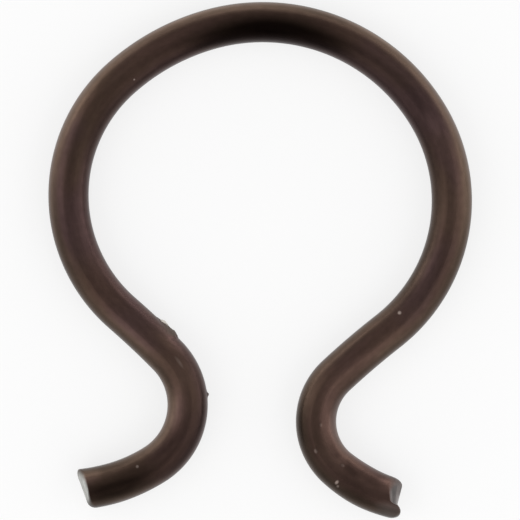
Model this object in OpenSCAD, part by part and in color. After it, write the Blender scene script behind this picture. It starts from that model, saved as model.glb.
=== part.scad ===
// Locking clip: one length of round spring wire, bent flat into an open loop.
// The crown, shoulders and sides close round a groove on a shaft or pipe, the legs draw in
// to a narrow neck, and the feet turn out so that the clip can be spread and pushed on.
// The clip lies flat, with the wire's axis in the XY plane and the crown towards +Y.
// The origin is the centre of the crown's arc. Lengths are in millimetres, turns in degrees.
// Every stretch of the wire is an arc, and the radii are those of the wire's axis.

/* [Wire] */
// Diameter of the round wire
wire_d = 2; // [1.8:0.1:2.2]

/* [Crown] */
// Radius of the crown
crown_r = 9.85; // [9:0.05:11]
// Turn of the crown on each side of its top
crown_turn = 16; // [12:1:20]

/* [Left limb] */
// Radius of the left shoulder
left_shoulder_r = 11.4; // [10.5:0.1:12.5]
// Turn of the left shoulder
left_shoulder_turn = 26; // [22:1:30]
// Radius of the left side of the loop
left_side_r = 7.9; // [7.2:0.05:8.6]
// Turn of the left side
left_side_turn = 97; // [93:0.5:101]
// Radius of the left leg, which is nearly straight and curves outwards
left_leg_r = 40; // [20:5:80]
// Turn of the left leg, outwards
left_leg_turn = 4.5; // [3:0.5:6]
// Radius of the left bend at the neck
left_bend_r = 3.55; // [3:0.05:4]
// Turn of the left bend, outwards
left_bend_turn = 102.5; // [95:0.5:108]
// Radius of the left foot
left_foot_r = 8.5; // [6.5:0.5:10.5]
// Turn of the left foot to its cut face, outwards
left_foot_turn = 25; // [18:0.5:32]

/* [Right limb] */
// Radius of the right shoulder
right_shoulder_r = 9.7; // [9:0.1:11]
// Turn of the right shoulder
right_shoulder_turn = 44; // [40:1:48]
// Radius of the right side of the loop
right_side_r = 8.35; // [7.6:0.05:9]
// Turn of the right side
right_side_turn = 82; // [78:0.5:86]
// Radius of the right leg, which is nearly straight and curves outwards
right_leg_r = 40; // [20:5:80]
// Turn of the right leg, outwards
right_leg_turn = 5; // [3:0.5:7]
// Radius of the right bend at the neck
right_bend_r = 3.15; // [2.7:0.05:3.7]
// Turn of the right bend, outwards
right_bend_turn = 97; // [90:0.5:103]
// Radius of the right foot
right_foot_r = 7.3; // [5.8:0.1:8.8]
// Turn of the right foot to its cut face, outwards
right_foot_turn = 25.5; // [18:0.5:32]

/* [Left cut end] */
// Lean of the left face, which looks up a little
left_cut_lean = 10; // [0:1:20]
// Skew of the left face across the wire, longer on the inside of the foot
left_cut_skew = 13; // [0:1:20]
// Radius of the edge that the shear rolled over
left_roll_r = 0.25; // [0.1:0.05:0.5]

/* [Right cut end] */
// Lean of the right face, which looks up a little
right_cut_lean = 12; // [0:1:20]
// Skew of the right face across the wire, longer on the inside of the foot
right_cut_skew = 8; // [0:1:20]
// Radius of the edge that the shear rolled over
right_roll_r = 0.3; // [0.1:0.05:0.5]
// Radius of the round lip that the shear tore out past the face
right_lip_r = 0.38; // [0.3:0.02:0.44]
// Distance of the lip's centre from the wire's axis
right_lip_offset = 0.6; // [0.5:0.05:0.65]
// Radius of the notch torn beside the lip, at the wire's axis
right_notch_r = 0.34; // [0.26:0.02:0.4]

/* [Hidden] */

$fn = 96;
finish_colour = [0.24, 0.18, 0.16];
wire_r = wire_d / 2;

// How far the wire runs on past a cut before it is cut off
overrun = wire_d;

// Round step to which a place is taken first, before the small remainder
place_step = 0.01;

// How much of the lip's radius its root fills, between the lip and the notch
lip_root_share = 0.7;

// Each limb is a list of stretches from the top of the crown to the cut end. A stretch is the
// radius of its arc, positive where the wire turns left on its way and negative where it
// turns right, and the turn
left_limb = [
    [crown_r, crown_turn],
    [left_shoulder_r, left_shoulder_turn],
    [left_side_r, left_side_turn],
    [-left_leg_r, left_leg_turn],
    [-left_bend_r, left_bend_turn],
    [-left_foot_r, left_foot_turn]
];
right_limb = [
    [-crown_r, crown_turn],
    [-right_shoulder_r, right_shoulder_turn],
    [-right_side_r, right_side_turn],
    [right_leg_r, right_leg_turn],
    [right_bend_r, right_bend_turn],
    [right_foot_r, right_foot_turn]
];

// Unit vector along a bearing, and the one to the left of it
function along(bearing) = [cos(bearing), sin(bearing)];
function left_of(bearing) = along(bearing + 90);

// Bearing of the wire where a stretch starts: the limbs set off level from the top of the
// crown, to the left where the first arc turns left and to the right where it turns right
function bearing(limb, i) =
    i == 0
        ? (limb[0][0] > 0 ? 180 : 0)
        : bearing(limb, i - 1) + sign(limb[i - 1][0]) * limb[i - 1][1];

// Centre of a stretch's arc: arcs that follow each other touch, so each centre lies on the
// line through the last centre and the joint
function centre(limb, i) =
    i == 0
        ? [0, 0]
        : centre(limb, i - 1) + (limb[i][0] - limb[i - 1][0]) * left_of(bearing(limb, i));

// Point of the wire's axis where a limb's last stretch ends
function end_point(limb) =
    let (last = len(limb) - 1)
    centre(limb, last) - limb[last][0] * left_of(bearing(limb, last + 1));

// Moves to a place by its round part and then by the remainder, so that joints close exactly
module at(place) {
    round_place = [for (v = place) round(v / place_step) * place_step];
    translate(round_place)
        translate(place - round_place)
            children();
}

// One stretch of a limb: the wire's round section swept about the centre of its arc, as far
// as its turn and then on by a length along the wire
module stretch(limb, i, run_on = 0) {
    radius = abs(limb[i][0]);
    turn = limb[i][1] + run_on / radius * 180 / PI;
    first = bearing(limb, i);
    start = limb[i][0] > 0 ? first - 90 : first + 90 - turn;
    at(centre(limb, i))
        rotate_extrude(angle = turn, start = start)
            translate([radius, 0])
                circle(d = wire_d);
}

// Outline of the wire behind a cut face, seen from above. The face lies along the X axis,
// the wire reaches back from it, and the edge towards -X is rolled over
module behind_face(reach, roll_r) {
    difference() {
        translate([-reach, -reach])
            square([2 * reach, reach]);
        difference() {
            translate([-reach, -roll_r])
                square([reach - wire_r + roll_r, 2 * roll_r]);
            translate([roll_r - wire_r, -roll_r])
                circle(r = roll_r);
        }
    }
}

// Outline behind the torn right face: a round lip stands out of it, with a notch beside it
module behind_torn_face(reach) {
    difference() {
        union() {
            behind_face(reach, right_roll_r);
            translate([right_lip_offset, 0])
                circle(r = right_lip_r);
            translate([0, -right_lip_r])
                square([right_lip_offset, right_lip_r * (1 + lip_root_share)]);
        }
        translate([0, right_notch_r])
            circle(r = right_notch_r);
    }
}

// A limb's foot, which runs on past its end and is cut off there. The outline of what is kept
// goes through the wire, leaning back at the top and skewed across
module cut_foot(limb, lean, skew) {
    last = len(limb) - 1;
    intersection() {
        stretch(limb, last, overrun);
        translate(end_point(limb))
            rotate([lean, 0, bearing(limb, last + 1) - 90 + skew])
                linear_extrude(height = 2 * overrun, center = true)
                    children();
    }
}

// The whole clip: the stretches of both limbs meet end to end, and each foot ends in its cut
module clip_wire() {
    color(finish_colour) {
        for (limb = [left_limb, right_limb], i = [0 : len(limb) - 2])
            stretch(limb, i);
        cut_foot(left_limb, left_cut_lean, left_cut_skew)
            behind_face(left_foot_r, left_roll_r);
        cut_foot(right_limb, right_cut_lean, -right_cut_skew)
            behind_torn_face(right_foot_r);
    }
}

clip_wire();
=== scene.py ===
"""Locking clip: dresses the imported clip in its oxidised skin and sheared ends, and sets its stage.

The wire's axis is a chain of tangent arcs in the XY plane. The skin is one closed surface over two
parameters, the way along the wire and the angle around it, and it ends in two sheared faces.
Lengths are in metres and angles in radians, where a comment doesn't say otherwise.
"""

import math

import bpy
import numpy as np
from bpy.props import FloatProperty, FloatVectorProperty, IntProperty, PointerProperty
from bpy.types import Operator, Panel, PropertyGroup
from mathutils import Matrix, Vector


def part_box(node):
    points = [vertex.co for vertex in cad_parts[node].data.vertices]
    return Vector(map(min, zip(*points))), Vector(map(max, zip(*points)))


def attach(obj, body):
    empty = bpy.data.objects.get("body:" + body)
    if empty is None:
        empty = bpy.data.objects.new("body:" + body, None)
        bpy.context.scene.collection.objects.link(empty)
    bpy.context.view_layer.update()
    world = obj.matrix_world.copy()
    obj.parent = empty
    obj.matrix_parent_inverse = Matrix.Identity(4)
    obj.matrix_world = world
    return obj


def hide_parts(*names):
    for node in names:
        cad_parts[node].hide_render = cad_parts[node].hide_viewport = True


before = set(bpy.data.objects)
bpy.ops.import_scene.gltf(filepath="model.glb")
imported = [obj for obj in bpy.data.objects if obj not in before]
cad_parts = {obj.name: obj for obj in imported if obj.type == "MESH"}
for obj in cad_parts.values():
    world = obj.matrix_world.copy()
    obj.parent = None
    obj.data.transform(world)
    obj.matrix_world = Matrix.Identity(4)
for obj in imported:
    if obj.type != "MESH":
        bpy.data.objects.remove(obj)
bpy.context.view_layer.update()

bl_info = {
    "name": "Locking Clip",
    "version": (1, 0, 0),
    "blender": (4, 5, 0),
    "location": "View3D > Sidebar > Locking Clip",
    "description": "Builds the skin, finish and stage of a spring wire locking clip",
    "category": "Object",
}

MM = 0.001
NODE = "clip_wire"
BODY = "root"
NODE_LOW, NODE_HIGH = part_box(NODE)
SIDES = ("left", "right")
WHITE = (1, 1, 1)

# Names of the skin's own attributes, which its finish reads
PLACE, BARE, FLAKE, CRUMB = "wire_place", "bare_steel", "loose_flake", "pale_crumb"


# Properties


def length(name, description, millimetres):
    """A length, given in millimetres and held in metres."""
    return FloatProperty(
        name=name, description=description, default=millimetres * MM, unit="LENGTH", precision=6
    )


def angle(name, description, degrees):
    """An angle, given in degrees and held in radians."""
    return FloatProperty(name=name, description=description, default=math.radians(degrees), subtype="ANGLE")


def share(name, description, value):
    """A part of a whole, from 0 to 1."""
    return FloatProperty(name=name, description=description, default=value, min=0, max=1, subtype="FACTOR")


def level(name, description, value):
    """A plain number, such as a brightness."""
    return FloatProperty(name=name, description=description, default=value, min=0)


def count(name, description, value):
    """A number of rows, columns or rings, three at least."""
    return IntProperty(name=name, description=description, default=value, min=3)


def colour(name, description, rgb):
    """A linear colour."""
    return FloatVectorProperty(
        name=name, description=description, default=rgb, size=3, min=0, max=1, subtype="COLOR"
    )


def with_sides(rows):
    """Class decorator that gives a property group a property for each side, from rows of a name, a kind,
    a title, a description, and the values on the left and on the right."""

    def add(group):
        for name, kind, title, description, *values in rows:
            for side, value in zip(SIDES, values):
                made = kind(f"{side.title()} {title}", description.format(side), value)
                group.__annotations__[f"{side}_{name}"] = made
        return group

    return add


@with_sides((
    ("shoulder_r", length, "shoulder radius", "Radius of the {} shoulder", 11.4, 9.7),
    ("shoulder_turn", angle, "shoulder turn", "Turn of the {} shoulder", 26, 44),
    ("side_r", length, "side radius", "Radius of the {} side of the loop", 7.9, 8.35),
    ("side_turn", angle, "side turn", "Turn of the {} side of the loop", 97, 82),
    ("leg_r", length, "leg radius", "Radius of the {} leg, which is nearly straight", 40, 40),
    ("leg_turn", angle, "leg turn", "Turn of the {} leg, outwards", 4.5, 5),
    ("bend_r", length, "bend radius", "Radius of the {} bend at the neck", 3.55, 3.15),
    ("bend_turn", angle, "bend turn", "Turn of the {} bend, outwards", 102.5, 97),
    ("foot_r", length, "foot radius", "Radius of the {} foot", 8.5, 7.3),
    ("foot_turn", angle, "foot turn", "Turn of the {} foot to its cut face", 25, 25.5),
))
class ClipWire(PropertyGroup):
    """Sizes of the wire and of the arcs that its axis follows"""

    wire_d: length("Wire diameter", "Diameter of the round wire", (NODE_HIGH.z - NODE_LOW.z) / MM)
    coat: length("Coat", "Thickness of the oxide on the wire", 0.02)
    crown_r: length("Crown radius", "Radius of the crown", 9.85)
    crown_turn: angle("Crown turn", "Turn of the crown on each side of its top", 16)
    around_count: count("Columns", "Columns of the skin around the wire", 128)
    along_count: count("Rows", "Rows of the skin along the wire", 600)
    edge_count: count("Edge rows", "Rows of the skin over each cut end's edge", 6)
    face_count: count("Face rings", "Rings of the skin on each cut face", 48)


@with_sides((
    ("skew", angle, "skew", "Skew of the {} face across the wire, longer on the loop's side", 13, 0),
    ("out", length, "reach", "How far the {} face stands past the end of the wire's axis", 0.185, 0.19),
    ("drop", length, "drop", "How far the {} face leans back at its top", 0.29, 0.44),
    ("drop_gain", level, "drop gain", "How much more the {} face leans back at its upper side", 0.6, 0.9),
    ("flare", length, "flare", "How far the shear pressed the sides of the {} end out", 0.015, 0.04),
    ("flare_back", length, "flare place", "How far behind the {} face its flare is widest", 1.0, 1.7),
    ("edge_r", length, "edge", "Radius of the {} face's edge on top", 0.05, 0.05),
    ("low_edge_r", length, "low edge", "Radius of the {} face's edge at its lower side", 0.32, 0.22),
    ("high_edge_r", length, "high edge", "Radius of the {} face's edge at its upper side", 0.5, 0.36),
    ("edge_stretch", level, "edge stretch", "Length of the {} upper edge over its radius", 0.52, 2),
))
class ClipEnds(PropertyGroup):
    """Sizes of the two sheared ends. The lower side is the one away from the loop"""

    lip_r: length("Lip radius", "Radius of the round lip that the shear tore out of the right end", 0.4)
    lip_offset: length("Lip offset", "Distance of the lip's centre from the wire's axis", 0.65)
    lip_out: length("Lip reach", "How far the lip's centre stands past the end of the wire's axis", 0.035)
    notch_r: length("Notch fillet", "Size of the fillet in the notch beside the lip", 0.02)
    flare_run: length("Flare run", "Length over which a flare dies out along the wire", 1.2)
    tear: length("Tear", "Height of the tear marks on the cut faces", 0.012)
    tear_w: length("Tear width", "Width of the tear marks", 0.3)


class ClipMarks(PropertyGroup):
    """Places and sizes of the marks on the skin. A place is the way from the top of the crown,
    positive on the right limb, and the angle from the outside of the loop over the top"""

    flake_way: length("Flake place", "Place of the thick end of the loose flake on the left leg", -24.25)
    flake_length: length("Flake length", "Length of the loose flake, over which it thins out", 1.3)
    flake_turn: angle("Flake turn", "Angle of the middle of the loose flake", 172)
    flake_half_turn: angle("Flake half width", "Half of the angle that the loose flake takes up", 55)
    flake_height: length("Flake height", "Height of the loose flake at its thick end", 0.14)
    crumb_way: length("Crumb place", "Place of the first of the pale crumbs beside the flake", -23.45)
    crumb_length: length("Crumb length", "Length of the row of pale crumbs", 0.65)
    crumb_turn: angle("Crumb turn", "Angle of the row of pale crumbs", 176)
    crumb_half_turn: angle("Crumb half width", "Half of the angle that the pale crumbs take up", 11)
    crumb_height: length("Crumb height", "Height of the pale crumbs", 0.12)
    grain: length("Crumb grain", "Size of a crumb, and of the flake's grain", 0.13)
    pimple_way: length("Pimple place", "Place of the pimple on the left bend", -26.78)
    pimple_turn: angle("Pimple turn", "Angle of the pimple", 178)
    pimple_r: length("Pimple radius", "Radius of the pimple's tip", 0.1)
    pimple_height: length("Pimple height", "Height of the pimple's tip over its foot", 0.07)
    scratch_way: length("Scratch place", "Place of the middle of the scratch", -25.05)
    scratch_turn: angle("Scratch turn", "Angle of the scratch", 105)
    scratch_half_length: length("Scratch half length", "Half of the scratch's length", 0.45)
    scratch_half_w: length("Scratch half width", "Half of the scratch's width", 0.12)
    speck_height: length("Speck height", "Height of a speck on the skin", 0.02)


class ClipFinish(PropertyGroup):
    """Colours and grain of the oxide, and of the steel on the cut faces"""

    oxide: colour("Oxide", "Brown oxide of the wire", (0.077, 0.0455, 0.037))
    oxide_warm: colour("Warm oxide", "Warmer brown in the oxide's clouds", (0.082, 0.0515, 0.038))
    oxide_cool: colour("Cool oxide", "Purple brown in the oxide's clouds", (0.075, 0.045, 0.043))
    oxide_olive: colour("Olive oxide", "Olive brown of the loop's outside", (0.075, 0.051, 0.037))
    flake: colour("Flake", "Olive brown of the loose flake", (0.112, 0.085, 0.066))
    crumb: colour("Crumbs", "Cream of the pale crumbs", (0.70, 0.66, 0.60))
    speck: colour("Specks", "Pale grey of the specks", (0.45, 0.36, 0.32))
    steel: colour("Bare steel", "Bare steel of the left cut face", (0.40, 0.40, 0.38))
    # The dark steel is painted shade low on the left cut face
    steel_dark: colour("Dark steel", "Stain low on the left cut face", (0.055, 0.050, 0.045))
    torn_steel: colour("Torn steel", "Dull steel of the torn right face", (0.130, 0.112, 0.106))
    torn_light: colour("Light torn steel", "Lighter steel beside the notch", (0.31, 0.29, 0.285))
    roughness: share("Roughness", "Roughness of the oxide", 0.34)
    steel_roughness: share("Steel roughness", "Roughness of the cut faces", 0.69)
    steel_metal: share("Steel metal", "How much the cut faces mirror as metal", 0.15)
    flake_metal: share("Flake metal", "How much flake and crumbs mirror as metal", 0.4)
    cloud: length("Cloud size", "Size of the clouds in the oxide, around the wire", 1.5)
    streak: length("Streak width", "Width of the soft streaks along the wire", 0.3)
    mottle: length("Mottle size", "Size of the fine mottling of the oxide, around the wire", 0.25)
    draw_line: length("Draw line width", "Width of the fine lines that the drawing die left", 0.035)
    draw_depth: length("Draw line depth", "Depth of the fine lines that the drawing die left", 0.004)
    grain: length("Grain", "Size of the oxide's grain", 0.05)


class ClipStage(PropertyGroup):
    """Camera, lamps and floor"""

    view_w: length("View width", "Width that the picture shows at the wire's axis", 26.282)
    view_x: length("View middle X", "Place of the picture's middle along X", -0.136)
    view_y: length("View middle Y", "Place of the picture's middle along Y", -2.171)
    camera_height: length("Camera height", "Height of the camera above the wire's axis", 400)
    floor_w: length("Floor width", "Width of the floor", 4000)
    floor: colour("Floor", "Pale cloth of the floor", (0.9, 0.9, 0.9))
    floor_white: share("Floor white", "Share of plain white in the floor's look", 0.75)
    side_level: level("Side lamps", "Brightness of the two side lamps", 1.0)
    back_level: level("Back lamps", "Brightness of the low lamps behind the crown", 1.35)
    world_level: level("World", "Brightness of the room around", 0.6)


def values_of(group):
    """The values of a property group, by name."""
    return {name: getattr(group, name) for name in group.__annotations__}


# Shape of the wire

# The arcs of a limb from the crown to its cut end. Shoulder and side turn right on the way from
# left to right, like the crown, and leg, bend and foot turn left
LIMB_ARCS = ("shoulder", "side", "leg", "bend", "foot")
LIMB_SENSES = (-1, -1, 1, 1, 1)
CROWN_SENSE = -1

# The rim of a cut face is found by halvings, within so many radii of the end of the wire's axis
RIM_HALVINGS, RIM_REACH = 40, 2

# How the lean of a cut face grows towards its top
LEAN_POWER = 1.5

# How steeply the lip's flanks run into the wire
FLANK_SLOPE = 3

# Tear marks are so many times longer than wide, and their finer layer has this share of their height
TEAR_STRETCH, FINE_TEAR = 4, 0.5

# How far noise moves the border of the lip's bare steel, in shares of the border's width
BARE_RAG = 0.5

# The pimple's tip and its wider foot, as shares of its radius and height
PIMPLE_STEPS = ((1, 1), (2.5, 0.4))

# Shares of the flake's length over which its thick end rises and its thin end dies out, and by which
# its front is rounded and ragged, and share of its height that it loses between its ends
FLAKE_RISE, FLAKE_FADE, FLAKE_ROUND, FLAKE_RAG, FLAKE_THINNING = 0.3, 0.4, 0.45, 0.04, 0.6

# How much the grain breaks up the flake and the crumbs and makes the crumbs' rim ragged, and how much
# finer its second layer is
FLAKE_BREAK, CRUMB_BREAK, CRUMB_RAG, FINE_GRAIN = 0.35, 0.9, 0.7, 2.3

# Cells along each side of the square that soft noise repeats, and its seeds on the two faces and in the
# two layers of the grain
NOISE_CELLS = 64
LEFT_SEED, RIGHT_SEED, GRAIN_SEED, FINE_GRAIN_SEED = 3, 5, 7, 8

# Samples of the rows' density along the wire, and its bells: width in millimetres and gain
ROW_SAMPLES = 4001
LEFT_BELL, RIGHT_BELL = (0.6, 2.5), (0.8, 3.5)
FLAKE_BELL, PIMPLE_BELL, SPECK_BELL = (0.9, 3.0), (0.35, 4.0), (0.3, 1.0)

# Specks on the skin: way from the top of the crown in millimetres, angle in degrees, half length and
# half width in millimetres, and the share of the speck's colour
SPECKS = (
    (-31.6, 70, 0.11, 0.11, 0.35),
    (-7.4, 120, 0.07, 0.07, 0.30),
    (21.1, 109, 0.13, 0.13, 0.80),
    (28.4, 77, 0.13, 0.10, 0.10),
    (29.6, 110, 0.14, 0.12, 0.14),
    (31.0, 73, 0.15, 0.11, 0.12),
    (31.3, 123, 0.10, 0.19, 0.40),
    (31.45, 132, 0.09, 0.12, 0.20),
)


def smooth(value):
    """Smooth rise from 0 to 1: 3 t^2 - 2 t^3."""
    part = np.clip(value, 0, 1)
    return part**2 * (3 - 2 * part)


def soft_noise(u, v, seed):
    """Value noise from -1 to 1: a random height at each whole (u, v), blended smoothly between."""
    size = NOISE_CELLS
    heights = np.random.default_rng(seed).uniform(-1, 1, (size, size))
    low_u, low_v = np.floor(u).astype(int), np.floor(v).astype(int)
    blend_u, blend_v = smooth(u - low_u), smooth(v - low_v)
    near = heights[low_u % size, low_v % size] * (1 - blend_v)
    near += heights[low_u % size, (low_v + 1) % size] * blend_v
    far = heights[(low_u + 1) % size, low_v % size] * (1 - blend_v)
    far += heights[(low_u + 1) % size, (low_v + 1) % size] * blend_v
    return near * (1 - blend_u) + far * blend_u


class WireAxis:
    """The wire's axis from the left cut end over the crown to the right cut end, as tangent arcs.

    On an arc of signed curvature k that starts at a corner with bearing b, the bearing at way w is
    b + k w, and the point is the corner plus (sin, -cos) of the bearing, less that of b, over k.
    """

    def __init__(self, sizes):
        left, right = (
            [(sizes[f"{side}_{arc}_r"], sizes[f"{side}_{arc}_turn"]) for arc in LIMB_ARCS]
            for side in SIDES
        )
        crown = (sizes["crown_r"], sizes["crown_turn"])
        radius, turn = np.array([*left[::-1], crown, crown, *right]).T
        sense = np.array([*LIMB_SENSES[::-1], CROWN_SENSE, CROWN_SENSE, *LIMB_SENSES])
        middle = len(sense) // 2
        self.curvature = sense / radius
        self.start = np.concatenate([[0], np.cumsum(radius * turn)])
        self.top = self.start[middle]
        self.length = self.start[-1]
        bearing = np.concatenate([[0], np.cumsum(sense * turn)])
        self.bearing = bearing - bearing[middle]
        step = np.stack([np.diff(np.sin(self.bearing)), -np.diff(np.cos(self.bearing))], axis=1)
        corner = np.vstack([np.zeros(2), np.cumsum(step / self.curvature[:, None], axis=0)])
        self.corner = corner - corner[middle] + [0, sizes["crown_r"]]

    def at(self, way):
        """Points and bearings of the axis at an array of ways. The end arcs run on past the ends."""
        i = np.clip(np.searchsorted(self.start, way, side="right") - 1, 0, len(self.curvature) - 1)
        first = self.bearing[i]
        bearing = first + self.curvature[i] * (way - self.start[i])
        step = np.stack([np.sin(bearing) - np.sin(first), np.cos(first) - np.cos(bearing)], axis=-1)
        return self.corner[i] + step / self.curvature[i][..., None], bearing

    def skin(self, way, around, radius):
        """Points at a radius from the axis, at an angle from the left of the way over the top."""
        point, bearing = self.at(way)
        across = radius * np.cos(around)
        x = point[..., 0] - across * np.sin(bearing)
        y = point[..., 1] + across * np.cos(bearing)
        return np.stack([x, y, radius * np.sin(around)], axis=-1)


class CutEnd:
    """A sheared end of the wire. Its face is a height along its own bearing over a plane of two
    lengths: low, towards the lower side of the foot, and up."""

    def __init__(self, axis, wire_r, ends, side, outward, seed):
        """Stands the face on the axis' end on a side, where the wire runs out along outward, 1 or -1."""
        self.axis, self.wire_r, self.outward, self.seed = axis, wire_r, outward, seed
        self.ends = ends
        self.own = {name[len(side) + 1:]: ends[name] for name in ends if name.startswith(side)}
        self.way = axis.length if outward > 0 else 0.0
        point, bearing = axis.at(np.array([self.way]))
        out = bearing[0] + (0 if outward > 0 else math.pi) - outward * self.own["skew"]
        self.point = point[0]
        self.out = np.array([math.cos(out), math.sin(out)])
        self.low = outward * np.array([math.sin(out), -math.cos(out)])

    def flare(self, back, around):
        """How far the shear pressed the wire out at a distance back from its face: a bell along the
        wire, times the squared cosine of the angle."""
        bell = np.exp(-(((back - self.own["flare_back"]) / self.ends["flare_run"]) ** 2))
        return self.own["flare"] * bell * np.cos(around) ** 2

    def edge_r(self, around):
        """Radius of the edge: from that on top to those at the two sides, by the squared cosine."""
        side = np.cos(around)
        side_r = np.where(side < 0, self.own["low_edge_r"], self.own["high_edge_r"])
        return self.own["edge_r"] + (side_r - self.own["edge_r"]) * side**2

    def edge_run(self, around):
        """Length of the edge along the wire: its radius, drawn out or in at the upper side."""
        return self.edge_r(around) * (1 + (self.own["edge_stretch"] - 1) * np.clip(np.cos(around), 0, 1))

    def height(self, low, up):
        """Height of the face: upright below the axis, leaning back above it by a power of up, and more
        so at the upper side, with tear marks that run from side to side."""
        lean = self.own["drop"] * np.clip(up / self.wire_r, 0, 1) ** LEAN_POWER
        lean = lean * (1 - self.own["drop_gain"] * low / self.wire_r)
        tear_w = self.ends["tear_w"]
        marks = soft_noise(up / tear_w, low / (TEAR_STRETCH * tear_w), self.seed)
        marks += FINE_TEAR * soft_noise(TEAR_STRETCH * up / tear_w, low / tear_w, self.seed + 1)
        return self.own["out"] - lean + self.ends["tear"] * marks

    def bare(self, low, up):
        """Share of bare steel on the face: all of it."""
        return np.ones(np.broadcast_shapes(low.shape, up.shape))

    def rim(self, around, radius):
        """Way at which the skin at each angle and radius meets the face, found by halving."""
        low_way, high_way = -RIM_REACH * radius, RIM_REACH * radius
        for _ in range(RIM_HALVINGS):
            middle = (low_way + high_way) / 2
            skin = self.axis.skin(self.way + self.outward * middle, around, radius)
            flat = skin[..., :2] - self.point
            past = flat @ self.out > self.height(flat @ self.low, skin[..., 2])
            low_way, high_way = np.where(past, low_way, middle), np.where(past, middle, high_way)
        return self.way + self.outward * (low_way + high_way) / 2

    def rows(self, around, edge_count, face_count):
        """Rows of the end from the skin to near the face's middle: over the edge in a quarter ellipse
        that ends on the face, and then the edge's last row drawn in evenly, set at the face's height.

        Gives the rows' points, places on the straightened wire and bare steel, and the pole's."""
        turn = np.linspace(0, math.pi / 2, edge_count)[:, None]
        edge_r = self.edge_r(around)
        radius = self.wire_r + self.flare(0, around) - edge_r * (1 - np.cos(turn))
        way = self.rim(around, radius) - self.outward * self.edge_run(around) * (1 - np.sin(turn))
        edge = self.axis.skin(way, around, radius)

        ring = np.linspace(1, 0, face_count + 1)[1:, None]
        low = ring * ((edge[-1, :, :2] - self.point) @ self.low)
        up = ring * edge[-1, :, 2]
        height = self.height(low, up)
        face_xy = self.point + low[..., None] * self.low + height[..., None] * self.out
        face = np.concatenate([face_xy, up[..., None]], axis=-1)
        face_way = way[-1].mean() + ring * (way[-1] - way[-1].mean())

        points = np.concatenate([edge, face])
        place = np.concatenate([
            straightened(way - self.axis.top, around, radius),
            straightened(face_way - self.axis.top, around, radius[-1] * ring),
        ])
        edge_bare = smooth(turn / turn[-1]) * self.bare(-radius * np.cos(around), radius * np.sin(around))
        bare = np.concatenate([edge_bare, self.bare(low, up)])
        grids = (points, place, bare)
        return [grid[:-1] for grid in grids], [grid[-1, :1] for grid in grids]


class TornEnd(CutEnd):
    """The right end, where the shear also tore out a round lip past the face, at its lower side."""

    def height(self, low, up):
        """The smooth maximum of the sheared face and of an upright lip: a circle, seen from above,
        whose flanks run steeply into the wire."""
        face = super().height(low, up)
        over = (low - self.ends["lip_offset"]) / self.ends["lip_r"]
        circle = np.sqrt(1 - np.clip(over, -1, 1) ** 2)
        flank = FLANK_SLOPE * np.clip(np.abs(over) - 1, 0, None)
        lip = self.ends["lip_out"] + self.ends["lip_r"] * (circle - flank)
        fillet = self.ends["notch_r"]
        return fillet * np.logaddexp(face / fillet, lip / fillet)

    def bare(self, low, up):
        """Share of bare steel on the face: all of it up to the lip's root, fading out before its middle
        with a ragged border."""
        half = self.ends["lip_r"] / 2
        rag = BARE_RAG * soft_noise(up / half, low / half, self.seed)
        return smooth((self.ends["lip_offset"] - low) / half - 1 + rag)


def straightened(way, around, radius):
    """Places on the straightened wire: the way from the top of the crown, and the wire's section."""
    parts = np.broadcast_arrays(way, radius * np.cos(around), radius * np.sin(around))
    return np.stack(parts, axis=-1)


def bump_of(way, around, middle_way, middle_turn, half_length, half_width, wire_r):
    """A bump from 0 to 1: the squared cosine of the distance from its middle along the skin, in shares
    of its half length and half width."""
    gap = np.hypot((way - middle_way) / half_length, wire_r * (around - middle_turn) / half_width)
    return np.cos(np.clip(gap, 0, 1) * math.pi / 2) ** 2


def grain_of(way, around, marks, wire_r):
    """Grain of flake and crumbs, about from -1 to 1: two layers of noise along the skin."""
    u, v = way / marks["grain"], wire_r * around / marks["grain"]
    fine = soft_noise(FINE_GRAIN * u, FINE_GRAIN * v, FINE_GRAIN_SEED)
    return (soft_noise(u, v, GRAIN_SEED) + fine) / 2


def flake_of(way, around, marks, wire_r):
    """Loose flake on the left leg, from 0 to about 1: a tongue with a rounded front, which rises in a
    step, thins out along the wire, falls off to both sides as a squared cosine, and is made ragged and
    broken up by the grain."""
    grain = grain_of(way, around, marks, wire_r)
    aside = np.clip(np.abs(around - marks["flake_turn"]) / marks["flake_half_turn"], 0, 1)
    along = (way - marks["flake_way"]) / marks["flake_length"]
    along = along - FLAKE_ROUND * aside**2 + FLAKE_RAG * grain
    profile = smooth(along / FLAKE_RISE) * (1 - FLAKE_THINNING * along) * smooth((1 - along) / FLAKE_FADE)
    body = profile * np.cos(aside * math.pi / 2) ** 2
    return np.clip(body * (1 + FLAKE_BREAK * grain), 0, None)


def crumbs_of(way, around, marks, wire_r):
    """Row of pale crumbs beside the flake, from 0 to about 1: a cosine of the distance from its middle,
    in shares of its half length and half width, made ragged and broken up by the grain."""
    grain = grain_of(way, around, marks, wire_r)
    half = marks["crumb_length"] / 2
    along = (way - marks["crumb_way"] - half) / half
    aside = (around - marks["crumb_turn"]) / marks["crumb_half_turn"]
    gap = np.clip(np.hypot(along, aside) + CRUMB_RAG * grain, 0, 1)
    return np.clip(np.cos(gap * math.pi / 2) * (1 + CRUMB_BREAK * grain), 0, None)


def relief(way, around, marks, wire_r):
    """Height of the skin over a plain round wire: flake, crumbs, pimple and specks."""
    height = marks["flake_height"] * flake_of(way, around, marks, wire_r)
    height += marks["crumb_height"] * crumbs_of(way, around, marks, wire_r)
    for radius_share, height_share in PIMPLE_STEPS:
        radius = radius_share * marks["pimple_r"]
        height += height_share * marks["pimple_height"] * bump_of(
            way, around, marks["pimple_way"], marks["pimple_turn"], radius, radius, wire_r
        )
    for speck_way, turn, half_length, half_width, _ in SPECKS:
        height += marks["speck_height"] * bump_of(
            way, around, speck_way * MM, math.radians(turn), half_length * MM, half_width * MM, wire_r
        )
    return height


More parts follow.
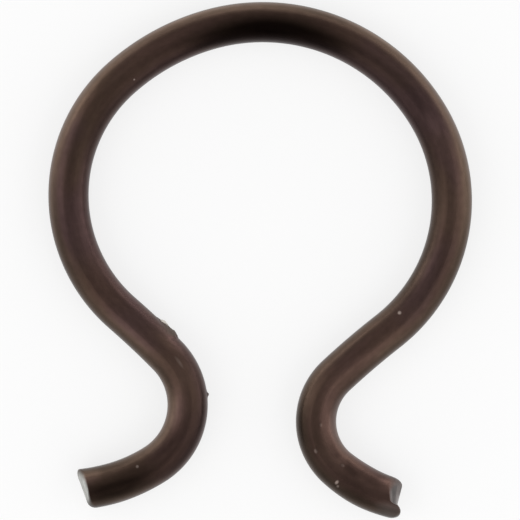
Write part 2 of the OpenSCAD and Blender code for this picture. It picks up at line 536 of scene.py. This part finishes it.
def row_shares(rows, axis, marks):
    """Shares of the wire's length at which the skin has rows, closer together where the density is
    higher: one, and a bell for each end and mark, of a middle, a width in millimetres and a gain."""
    way = np.linspace(0, axis.length, ROW_SAMPLES)
    bells = [(0, *LEFT_BELL), (axis.length, *RIGHT_BELL)]
    bells.append((axis.top + marks["flake_way"] + marks["flake_length"] / 2, *FLAKE_BELL))
    bells.append((axis.top + marks["pimple_way"], *PIMPLE_BELL))
    bells.extend((axis.top + speck[0] * MM, *SPECK_BELL) for speck in SPECKS)
    density = 1 + sum(
        gain * np.exp(-(((way - middle) / (width * MM)) ** 2)) for middle, width, gain in bells
    )
    sums = np.concatenate([[0], np.cumsum((density[1:] + density[:-1]) / 2)])
    return np.interp(np.linspace(0, sums[-1], rows), sums, way) / axis.length


def wire_skin(sizes, ends, marks):
    """The whole skin as one closed surface: rings over the left face from its middle to its edge, rows
    along the wire, and rings over the right face from its edge to its middle.

    Gives the points, the attributes of the points by name, and the faces."""
    axis = WireAxis(sizes)
    wire_r = sizes["wire_d"] / 2 + sizes["coat"]
    around = np.linspace(0, 2 * math.pi, sizes["around_count"], endpoint=False)
    left = CutEnd(axis, wire_r, ends, "left", -1, LEFT_SEED)
    right = TornEnd(axis, wire_r, ends, "right", 1, RIGHT_SEED)
    left_rows, left_pole = left.rows(around, sizes["edge_count"], sizes["face_count"])
    right_rows, right_pole = right.rows(around, sizes["edge_count"], sizes["face_count"])
    left_rows = [grid[::-1] for grid in left_rows]

    first = left_rows[1][-1, :, 0] + axis.top
    last = right_rows[1][0, :, 0] + axis.top
    shares = row_shares(sizes["along_count"], axis, marks)[1:-1, None]
    way = first + shares * (last - first)
    from_top = way - axis.top
    radius = wire_r + relief(from_top, around, marks, wire_r)
    radius += left.flare(way - first, around) + right.flare(last - way, around)
    side = [axis.skin(way, around, radius), straightened(from_top, around, radius), np.zeros_like(way)]

    def whole(left_part, middle_part, right_part, *poles):
        grid = np.concatenate([left_part, middle_part, right_part])
        return np.concatenate([grid.reshape(-1, *grid.shape[2:]), *poles])

    points, place, bare = (
        whole(*parts) for parts in zip(left_rows, side, right_rows, left_pole, right_pole)
    )
    blank_left, blank_right, blank_poles = 0 * left_rows[2], 0 * right_rows[2], np.zeros(2)
    flake = whole(blank_left, flake_of(from_top, around, marks, wire_r), blank_right, blank_poles)
    crumb = whole(blank_left, crumbs_of(from_top, around, marks, wire_r), blank_right, blank_poles)
    rows = (len(points) - len(blank_poles)) // len(around)
    return points, {PLACE: place, BARE: bare, FLAKE: flake, CRUMB: crumb}, grid_faces(rows, len(around))


def grid_faces(rows, columns):
    """Faces of a grid that closes around its columns, with a fan to a pole at each end. Rows run on
    from the first pole to the second, and columns run the way that turns the faces outwards."""
    first = np.arange(rows * columns).reshape(rows, columns)
    after = np.roll(first, -1, axis=1)
    quads = np.stack([first[:-1], first[1:], after[1:], after[:-1]], axis=-1).reshape(-1, 4)
    start, end = rows * columns, rows * columns + 1
    start_fan = np.stack([np.full(columns, start), first[0], after[0]], axis=-1)
    end_fan = np.stack([first[-1], np.full(columns, end), after[-1]], axis=-1)
    return [*quads.tolist(), *start_fan.tolist(), *end_fan.tolist()]


# Shader maths


class Value:
    """A shader value: an output socket whose operators add Math nodes."""

    def __init__(self, graph, socket):
        self.graph, self.socket = graph, socket

    def math(self, operation, first, second):
        return self.graph.node("ShaderNodeMath", {"operation": operation}, {0: first, 1: second})

    def output(self, name):
        """Another output of the same node."""
        return Value(self.graph, self.socket.node.outputs[name])

    def __add__(self, other):
        return self.math("ADD", self, other)

    def __sub__(self, other):
        return self.math("SUBTRACT", self, other)

    def __rsub__(self, other):
        return self.math("SUBTRACT", other, self)

    def __mul__(self, other):
        return self.math("MULTIPLY", self, other)

    __radd__ = __add__
    __rmul__ = __mul__


class Graph:
    """A node tree to write a finish in."""

    def __init__(self, owner):
        owner.use_nodes = True
        self.tree = owner.node_tree
        self.tree.nodes.clear()

    def node(self, kind, settings=None, sockets=None, output=0):
        """Adds a node, sets it, fills or links its sockets by name or number, and gives an output."""
        made = self.tree.nodes.new(kind)
        for name, setting in (settings or {}).items():
            setattr(made, name, setting)
        for name, value in (sockets or {}).items():
            socket = made.inputs[name]
            if isinstance(value, Value):
                self.tree.links.new(value.socket, socket)
            elif socket.type == "RGBA":
                socket.default_value = (*value, 1)
            else:
                socket.default_value = value
        return Value(self, made.outputs[output]) if made.outputs else None

    def vector(self, operation, first, second, output=0):
        """Vector maths on two vectors."""
        return self.node("ShaderNodeVectorMath", {"operation": operation}, {0: first, 1: second}, output)

    def mix(self, share_of_second, first, second):
        """Colour between two colours, at those of the Mix node's sockets that take colours."""
        sockets = {0: share_of_second, 6: first, 7: second}
        return self.node("ShaderNodeMix", {"data_type": "RGBA"}, sockets, 2)

    def shaded(self, tint, gain):
        """A colour times a value."""
        return self.node("ShaderNodeVectorMath", {"operation": "SCALE"}, {0: tint, "Scale": gain})

    def noise(self, place, size, detail, stretch=(1, 1, 1)):
        """Noise from 0 to 1 with features of a size, drawn out along the axes by a stretch."""
        place = self.vector("DIVIDE", place, stretch)
        sockets = {"Vector": place, "Scale": 1 / size, "Detail": detail}
        return self.node("ShaderNodeTexNoise", None, sockets)

    def ramp(self, value, low, high):
        """Smooth rise from 0 at low to 1 at high, or a fall where low is the larger."""
        sockets = {"Value": value, "From Min": low, "From Max": high}
        return self.node("ShaderNodeMapRange", {"interpolation_type": "SMOOTHSTEP"}, sockets)

    def attribute(self, name, output):
        """One of the skin's own attributes."""
        return self.node("ShaderNodeAttribute", {"attribute_name": name}, None, output)

    def spot(self, place, middle, halves, core):
        """Soft spot from 0 to 1 about a middle: full in its core and none past its half sizes."""
        gap = self.vector("DIVIDE", self.vector("SUBTRACT", place, middle), halves)
        return self.ramp(self.vector("LENGTH", gap, (0, 0, 0), "Value"), 1, core)


# Finish

# Painted light and shade on the oxide: darker rows are painted shade, such as on the inner side of the
# crown, and lighter rows are painted highlights along the edges. Columns: way from the top of the crown
# in millimetres, angle in degrees, half length and half width in millimetres, and how much lighter or
# darker the oxide is painted in the middle
PAINTED_LIGHT_AND_SHADE = (
    (0.5, 106, 6.5, 0.95, -0.90),
    (0.0, 68, 7.0, 0.50, -0.25),
    (0.5, 155, 5.0, 0.80, -0.50),
    (0.0, 124, 24.0, 0.90, -0.50),
    (-12.0, 112, 7.0, 0.70, -0.25),
    (9.0, 115, 6.0, 0.70, -0.20),
    (-9.5, 24, 9.0, 0.60, 1.40),
    (9.5, 24, 9.0, 0.60, 1.20),
    (-1.0, 24, 5.5, 0.60, 1.00),
    (-33.0, 106, 3.5, 0.90, -0.80),
    (-31.5, 72, 2.0, 0.40, -0.25),
    (-29.5, 128, 1.8, 0.50, -0.25),
    (-34.0, 160, 0.9, 0.50, -0.35),
    (-29.0, 120, 5.0, 0.90, -0.50),
    (-29.5, 22, 4.5, 0.65, 1.00),
    (31.0, 122, 5.5, 0.90, -0.60),
    (30.0, 22, 4.5, 0.65, 0.90),
    (-17.5, 62, 5.0, 0.65, -0.42),
    (-26.5, 95, 2.5, 0.40, 0.22),
    (-10.5, 96, 2.5, 0.35, 0.20),
    (11.5, 97, 2.5, 0.35, 0.20),
    (25.5, 84, 2.5, 0.35, 0.25),
    (-10.5, 122, 3.0, 0.50, -0.22),
    (12.0, 124, 4.0, 0.50, -0.28),
    (18.5, 65, 5.0, 0.65, -0.32),
    (25.5, 54, 2.5, 0.50, -0.25),
    (28.5, 122, 1.6, 0.45, -0.22),
    (32.5, 121, 1.2, 0.40, -0.22),
    (5.0, 24, 2.5, 0.40, 0.35),
    (-25.5, 22, 3.5, 0.40, 0.35),
    (-25.0, 57, 2.0, 0.55, -0.35),
    (-21.0, 147, 7.0, 0.45, 0.40),
    (24.0, 147, 6.0, 0.45, 0.55),
    (-11.0, 80, 5.0, 0.50, -0.20),
    (9.0, 80, 4.0, 0.50, -0.20),
    (-34.2, 50, 1.0, 0.65, 0.70),
    (33.9, 52, 1.0, 0.60, 0.90),
    (34.2, 130, 1.8, 0.80, 0.15),
    (34.2, 155, 1.2, 0.50, -0.45),
    (-24.0, 125, 1.2, 0.50, 0.40),
    (-29.5, 72, 1.6, 0.35, -0.35),
    (-27.5, 50, 1.5, 0.35, 0.40),
    (-10.5, 58, 2.2, 0.35, 0.40),
    (10.5, 90, 1.2, 0.35, 0.50),
    (18.5, 128, 1.6, 0.35, 0.40),
    (26.5, 125, 2.0, 0.40, 0.30),
    (30.5, 92, 1.5, 0.50, 0.35),
    (30.8, 62, 0.5, 0.30, 0.40),
    (31.5, 72, 0.8, 0.30, -0.30),
    (28.5, 150, 1.5, 0.40, -0.35),
    (-2.5, 125, 2.2, 0.60, -0.45),
    (3.5, 122, 2.0, 0.60, -0.45),
)

# Core of a spot of painted light or shade, of a speck, rub or sheen spot and of the scratch, as a share
# of their half sizes
PAINTED_LIGHT_CORE, SPECK_CORE, SCRATCH_CORE = 0.2, 0.3, 0.2

# Layers of detail in the softer and the finer noises, and the middle of their range
SOFT_DETAIL, FINE_DETAIL, MIDDLE = 2, 3, 0.5

# Levels of noise between which the warm and the cool oxide come in, and the size of the cool tints over
# that of the clouds
WARM_SPAN, COOL_SPAN, TINT_SIZE = (0.35, 0.65), (0.45, 0.70), 2

# Spans in millimetres, from the wire's axis towards the outside and the inside of the loop, and from the
# top of the crown along both limbs, in which the olive and the cool oxide come in, and their shares. The
# cool oxide at the inside is a painted sheen, a purple tint along the loop's inner edges
OUTSIDE_SPAN, INSIDE_SPAN = (0.35, 0.8), (-0.3, -0.8)
BEND_SPAN, RIGHT_SPAN, LEFT_FOOT_SPAN = (28, 22), (8, 18), (-30, -33)
OLIVE_SHARE, COOL_SHEEN_SHARE = 0.85, 0.6

# How far clouds, tints, streaks, mottling and draw lines are drawn out along the wire, and shear marks
# across it, which are finer in the colour than the tear marks in the shape
CLOUD_STRETCH, TINT_STRETCH, STREAK_STRETCH, LINE_STRETCH = (3, 1, 1), (2, 1, 1), (30, 1, 1), (80, 1, 1)
MOTTLE_STRETCH, SHEAR_STRETCH, SHEAR_FINENESS = (1.6, 1, 1), (1, 5, 1), 2

# How strongly streaks and mottling shade the oxide, shear marks the steel, clouds the roughness and grain
# the bump
STREAK_GAIN, MOTTLE_GAIN, SHEAR_GAIN, CLOUD_ROUGHNESS, GRAIN_BUMP = 0.4, 0.4, 1.4, 0.12, 0.25

# Share of the pale colour in the scratch, and extra roughness of flake and crumbs
SCRATCH_SHARE, LOOSE_ROUGHNESS = 0.13, 0.4

# Grey spots: rubs where steel shows through at the lip, grey at the shoulders, and at the right bend a
# painted sheen along its edge. Way, turn, half length, half width and share, as for the specks
RUBS_AND_SHEEN = (
    (34.5, 130, 1.4, 0.70, 0.38),
    (28.5, 28, 3.5, 0.50, 0.25),
    (-10.0, 22, 5.0, 0.45, 0.15),
    (11.0, 22, 5.0, 0.45, 0.15),
)

# Heights of flake and crumbs, as shares, between which their own colour comes in
FLAKE_SPAN, CRUMB_SPAN = (0.02, 0.7), (0.05, 0.6)

# Least share of the flake's colour and least tone of the crumbs, and how much the grain adds to both
FLAKE_COVER, CRUMB_TONE, GRAIN_GAIN = 0.4, 0.6, 0.8

# Span along the wire, in millimetres, between the steel of the left face and that of the right one
SIDE_SPAN = (-1, 1)

# Spans in millimetres over which the left face takes painted shade and the right one becomes lighter:
# across the face, where its upper side is positive, and upwards. The painted shade's least share is that
# below
FACE_SHADE_ACROSS, FACE_SHADE_UP, FACE_SHADE_LEAST = (-0.3, -1.0), (-0.2, 0.5), 0.45
LIGHT_ACROSS, LIGHT_UP = (0.4, -0.05), (0.6, 0.0)

# Spans upwards, in millimetres, over which painted shade darkens the right face in a groove and fades
# again towards its top edge, and how much
GROOVE_UP, CREASE_UP, GROOVE_SHADE = (0.45, 0.75), (0.8, 0.9), 0.4


def section_point(way, turn, wire_r):
    """Place on the straightened wire's skin at a way and an angle."""
    return (way, wire_r * math.cos(turn), wire_r * math.sin(turn))


def millimetres(span):
    """A span in metres, from one in millimetres."""
    return [edge * MM for edge in span]


def rise(graph, coordinate, span):
    """Smooth rise from 0 to 1 as a coordinate goes over a span in millimetres."""
    return graph.ramp(coordinate, *millimetres(span))


def skin_spot(graph, place, row, core, wire_r):
    """Soft spot on the skin, from its way, angle and half sizes in millimetres and degrees."""
    way, turn, half_length, half_width = row
    middle = section_point(way * MM, math.radians(turn), wire_r)
    return graph.spot(place, middle, millimetres((half_length, half_width, half_width)), core)


def oxide_colour(graph, place, clouds, finish, marks, wire_r):
    """Brown oxide with warmer and cooler clouds, olive at the outside of the loop as far as the right
    bend and, at its inside, on the right limb and the left foot, and a cool tint at the rest of the inside,
    which is painted sheen, with streaks along the wire, fine mottling, painted light and shade, grey rubs,
    a painted sheen at the right bend, pale specks and a faint scratch."""
    tints = graph.noise(place, TINT_SIZE * finish.cloud, SOFT_DETAIL, TINT_STRETCH)
    streaks = graph.noise(place, finish.streak, FINE_DETAIL, STREAK_STRETCH)
    mottle = graph.noise(place, finish.mottle, SOFT_DETAIL, MOTTLE_STRETCH)
    brown = graph.mix(graph.ramp(clouds, *WARM_SPAN), finish.oxide, finish.oxide_warm)
    brown = graph.mix(graph.ramp(tints, *COOL_SPAN), brown, finish.oxide_cool)
    way = graph.node("ShaderNodeSeparateXYZ", None, {0: place}, "X")
    across = way.output("Y")
    outside = rise(graph, across, OUTSIDE_SPAN) * rise(graph, way, BEND_SPAN)
    inside = rise(graph, across, INSIDE_SPAN)
    olive = rise(graph, way, RIGHT_SPAN) + rise(graph, way, LEFT_FOOT_SPAN)
    # Painted sheen: a cool purple tint along the inside of the loop
    brown = graph.mix(COOL_SHEEN_SHARE * inside * (1 - olive), brown, finish.oxide_cool)
    brown = graph.mix(OLIVE_SHARE * (outside + inside * olive), brown, finish.oxide_olive)
    brown = graph.shaded(brown, 1 + STREAK_GAIN * (streaks - MIDDLE) + MOTTLE_GAIN * (mottle - MIDDLE))
    # Painted light and shade: spots that lighten the oxide as highlights and darken it as shade
    for *row, gain in PAINTED_LIGHT_AND_SHADE:
        brown = graph.shaded(brown, 1 + gain * skin_spot(graph, place, row, PAINTED_LIGHT_CORE, wire_r))
    # Grey spots: rubbed steel at the lip, grey at the shoulders and a painted sheen at the right bend
    for rows, pale in ((RUBS_AND_SHEEN, finish.torn_steel), (SPECKS, finish.speck)):
        for *row, strength in rows:
            brown = graph.mix(strength * skin_spot(graph, place, row, SPECK_CORE, wire_r), brown, pale)
    middle = section_point(marks.scratch_way, marks.scratch_turn, wire_r)
    halves = (marks.scratch_half_length, marks.scratch_half_w, marks.scratch_half_w)
    scratch = graph.spot(place, middle, halves, SCRATCH_CORE)
    return graph.mix(SCRATCH_SHARE * scratch, brown, finish.speck)


def steel_colour(graph, place, finish, ends):
    """Steel of the cut faces: pale on the left, with painted shade at its lower side, and dull on the
    right, lighter beside the notch and with painted shade in a groove. Shear marks run from side to side."""
    way = graph.node("ShaderNodeSeparateXYZ", None, {0: place}, "X")
    across, up = way.output("Y"), way.output("Z")
    shear = graph.noise(place, ends.tear_w / SHEAR_FINENESS, FINE_DETAIL, SHEAR_STRETCH)
    # Painted shade on the left face, towards its lower side
    face_shade = FACE_SHADE_LEAST + (1 - FACE_SHADE_LEAST) * rise(graph, up, FACE_SHADE_UP)
    face_shade = face_shade * rise(graph, across, FACE_SHADE_ACROSS)
    left = graph.mix(face_shade, finish.steel, finish.steel_dark)
    light = rise(graph, across, LIGHT_ACROSS) * rise(graph, up, LIGHT_UP)
    right = graph.mix(light, finish.torn_steel, finish.torn_light)
    # Painted shade in a groove across the right face
    groove_shade = rise(graph, up, GROOVE_UP) * (1 - rise(graph, up, CREASE_UP))
    right = graph.shaded(right, 1 - GROOVE_SHADE * groove_shade)
    steel = graph.mix(rise(graph, way, SIDE_SPAN), left, right)
    return graph.shaded(steel, 1 + SHEAR_GAIN * (shear - MIDDLE))


def oxide_finish(finish, sizes, ends, marks):
    """Finish of the whole clip: brown oxide on drawn spring wire, flake and crumbs on it, and steel on
    the cut faces. All of it follows the straightened wire, and fine draw lines run along it."""
    material = bpy.data.materials.new("brown_oxide")
    graph = Graph(material)
    place = graph.attribute(PLACE, "Vector")
    bare = graph.attribute(BARE, "Fac")
    flake = graph.ramp(graph.attribute(FLAKE, "Fac"), *FLAKE_SPAN)
    crumb = graph.ramp(graph.attribute(CRUMB, "Fac"), *CRUMB_SPAN)
    clouds = graph.noise(place, finish.cloud, FINE_DETAIL, CLOUD_STRETCH)
    lines = graph.noise(place, finish.draw_line, SOFT_DETAIL, LINE_STRETCH)
    grain = graph.noise(place, finish.grain, SOFT_DETAIL)

    skin = oxide_colour(graph, place, clouds, finish, marks, sizes.wire_d / 2 + sizes.coat)
    skin = graph.mix(flake * (FLAKE_COVER + GRAIN_GAIN * grain), skin, finish.flake)
    skin = graph.mix(crumb, skin, graph.shaded(finish.crumb, CRUMB_TONE + GRAIN_GAIN * grain))
    tint = graph.mix(bare, skin, steel_colour(graph, place, finish, ends))

    loose = flake + crumb
    rough = finish.roughness + CLOUD_ROUGHNESS * (clouds - MIDDLE) + LOOSE_ROUGHNESS * loose
    rough = rough + (finish.steel_roughness - finish.roughness) * bare
    metal = 1 - (1 - finish.steel_metal) * bare - (1 - finish.flake_metal) * loose
    # The bump's height is in metres, so its distance and strength are one
    height = finish.draw_depth * (lines + GRAIN_BUMP * grain)
    bump = graph.node("ShaderNodeBump", None, {"Height": height, "Distance": 1.0, "Strength": 1.0})
    sockets = {"Base Color": tint, "Metallic": metal, "Roughness": rough, "Normal": bump}
    shader = graph.node("ShaderNodeBsdfPrincipled", None, sockets)
    graph.node("ShaderNodeOutputMaterial", None, {"Surface": shader})
    return material


# Stage

# Lamps around the clip: name, bearing and elevation in degrees, distance, width and height in metres,
# and the property that holds the brightness
LAMPS = (
    ("left_lamp", 205, 34, 0.30, 0.50, 0.32, "side_level"),
    ("right_lamp", 335, 34, 0.30, 0.50, 0.32, "side_level"),
    ("back_right_lamp", 20, 8, 0.30, 0.35, 0.08, "back_level"),
    ("back_lamp", 80, 8, 0.30, 0.35, 0.08, "back_level"),
    ("back_left_lamp", 140, 8, 0.30, 0.35, 0.08, "back_level"),
)

# Nearest and farthest that the camera sees, in shares of its height
CAMERA_NEAR, CAMERA_FAR = 0.01, 10


def floor_finish(stage):
    """Pale floor that takes the clip's shadow, mixed with plain white where it is seen or mirrored."""
    material = bpy.data.materials.new("pale_floor")
    graph = Graph(material)
    looked_at = graph.node("ShaderNodeLightPath", None, None, "Is Camera Ray")
    seen = looked_at + looked_at.output("Is Glossy Ray") + looked_at.output("Is Transmission Ray")
    cloth = graph.node("ShaderNodeBsdfDiffuse", None, {"Color": stage.floor})
    white = graph.node("ShaderNodeEmission", None, {"Color": WHITE, "Strength": 1.0})
    mixed = graph.node("ShaderNodeMixShader", None, {0: stage.floor_white * seen, 1: cloth, 2: white})
    graph.node("ShaderNodeOutputMaterial", None, {"Surface": mixed})
    return material


def soft_lamp(name, bearing, elevation, distance, width, height, brightness):
    """Area lamp that looks at the origin from a bearing and elevation. Brightness is the radiance of
    its face."""
    light = bpy.data.lights.new(name, "AREA")
    light.shape = "RECTANGLE"
    light.size, light.size_y = width, height
    light.energy = brightness * math.pi * width * height
    flat = math.cos(elevation)
    away = Vector((flat * math.cos(bearing), flat * math.sin(bearing), math.sin(elevation)))
    lamp = bpy.data.objects.new(name, light)
    lamp.location = distance * away
    lamp.rotation_euler = away.to_track_quat("Z", "Y").to_euler()
    lamp.visible_camera = False
    return lamp


def white_room(stage):
    """Even white light from all around."""
    world = bpy.data.worlds.new("room")
    graph = Graph(world)
    sky = graph.node("ShaderNodeBackground", None, {"Color": WHITE, "Strength": stage.world_level})
    graph.node("ShaderNodeOutputWorld", None, {"Surface": sky})
    return world


def top_camera(stage):
    """Camera that looks straight down from the height at which its view has the stage's width."""
    lens = bpy.data.cameras.new("camera")
    lens.lens = lens.sensor_width * stage.camera_height / stage.view_w
    lens.clip_start = CAMERA_NEAR * stage.camera_height
    lens.clip_end = CAMERA_FAR * stage.camera_height
    camera = bpy.data.objects.new("camera", lens)
    camera.location = (stage.view_x, stage.view_y, stage.camera_height)
    return camera


# Add-on


class OBJECT_OT_clip_wire(Operator):
    """Make the clip's wire: its skin with both sheared ends, and its finish"""

    bl_idname = "object.clip_wire"
    bl_label = "Clip Wire"

    def execute(self, context):
        scene = context.scene
        points, attributes, faces = wire_skin(
            values_of(scene.clip_wire), values_of(scene.clip_ends), values_of(scene.clip_marks)
        )
        mesh = bpy.data.meshes.new("clip_wire_skin")
        mesh.from_pydata(points, [], faces)
        if mesh.validate():
            raise RuntimeError("the clip's skin has faulty faces")
        for name, values in attributes.items():
            kind, key = ("FLOAT", "value") if values.ndim == 1 else ("FLOAT_VECTOR", "vector")
            mesh.attributes.new(name, kind, "POINT").data.foreach_set(key, values.ravel())
        mesh.shade_smooth()
        mesh.materials.append(
            oxide_finish(scene.clip_finish, scene.clip_wire, scene.clip_ends, scene.clip_marks)
        )
        piece = bpy.data.objects.new("clip_wire_skin", mesh)
        scene.collection.objects.link(piece)
        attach(piece, BODY)
        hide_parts(NODE)
        return {"FINISHED"}


class OBJECT_OT_clip_stage(Operator):
    """Set the stage: floor, lamps, room and the camera that looks straight down"""

    bl_idname = "object.clip_stage"
    bl_label = "Clip Stage"

    def execute(self, context):
        scene, stage = context.scene, context.scene.clip_stage
        half, low = stage.floor_w / 2, NODE_LOW.z - scene.clip_wire.coat
        mesh = bpy.data.meshes.new("floor")
        corners = [(-half, -half, low), (half, -half, low), (half, half, low), (-half, half, low)]
        mesh.from_pydata(corners, [], [(0, 1, 2, 3)])
        mesh.materials.append(floor_finish(stage))
        floor = bpy.data.objects.new("floor", mesh)
        scene.collection.objects.link(floor)

        for name, bearing, elevation, distance, width, height, brightness in LAMPS:
            turns = math.radians(bearing), math.radians(elevation)
            lamp = soft_lamp(name, *turns, distance, width, height, getattr(stage, brightness))
            scene.collection.objects.link(lamp)
        scene.world = white_room(stage)
        scene.camera = top_camera(stage)
        scene.collection.objects.link(scene.camera)
        scene.view_settings.view_transform = "Standard"
        return {"FINISHED"}


class VIEW3D_PT_locking_clip(Panel):
    """Lists the clip's operators and the values that they use"""

    bl_label = "Locking Clip"
    bl_space_type = "VIEW_3D"
    bl_region_type = "UI"
    bl_category = "Locking Clip"

    def draw(self, context):
        for operator in OPERATORS:
            self.layout.operator(operator.bl_idname)
        for name, group in GROUPS.items():
            box = self.layout.box()
            for value in group.__annotations__:
                box.prop(getattr(context.scene, name), value)


GROUPS = {
    "clip_wire": ClipWire,
    "clip_ends": ClipEnds,
    "clip_marks": ClipMarks,
    "clip_finish": ClipFinish,
    "clip_stage": ClipStage,
}
OPERATORS = (OBJECT_OT_clip_wire, OBJECT_OT_clip_stage)


def register():
    for name, group in GROUPS.items():
        bpy.utils.register_class(group)
        setattr(bpy.types.Scene, name, PointerProperty(type=group))
    for cls in (*OPERATORS, VIEW3D_PT_locking_clip):
        bpy.utils.register_class(cls)


def unregister():
    for cls in (VIEW3D_PT_locking_clip, *reversed(OPERATORS)):
        bpy.utils.unregister_class(cls)
    for name, group in reversed(GROUPS.items()):
        delattr(bpy.types.Scene, name)
        bpy.utils.unregister_class(group)


def main():
    """Registers the add-on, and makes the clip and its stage."""
    register()
    bpy.ops.object.clip_wire()
    bpy.ops.object.clip_stage()


if __name__ == "__main__":
    main()
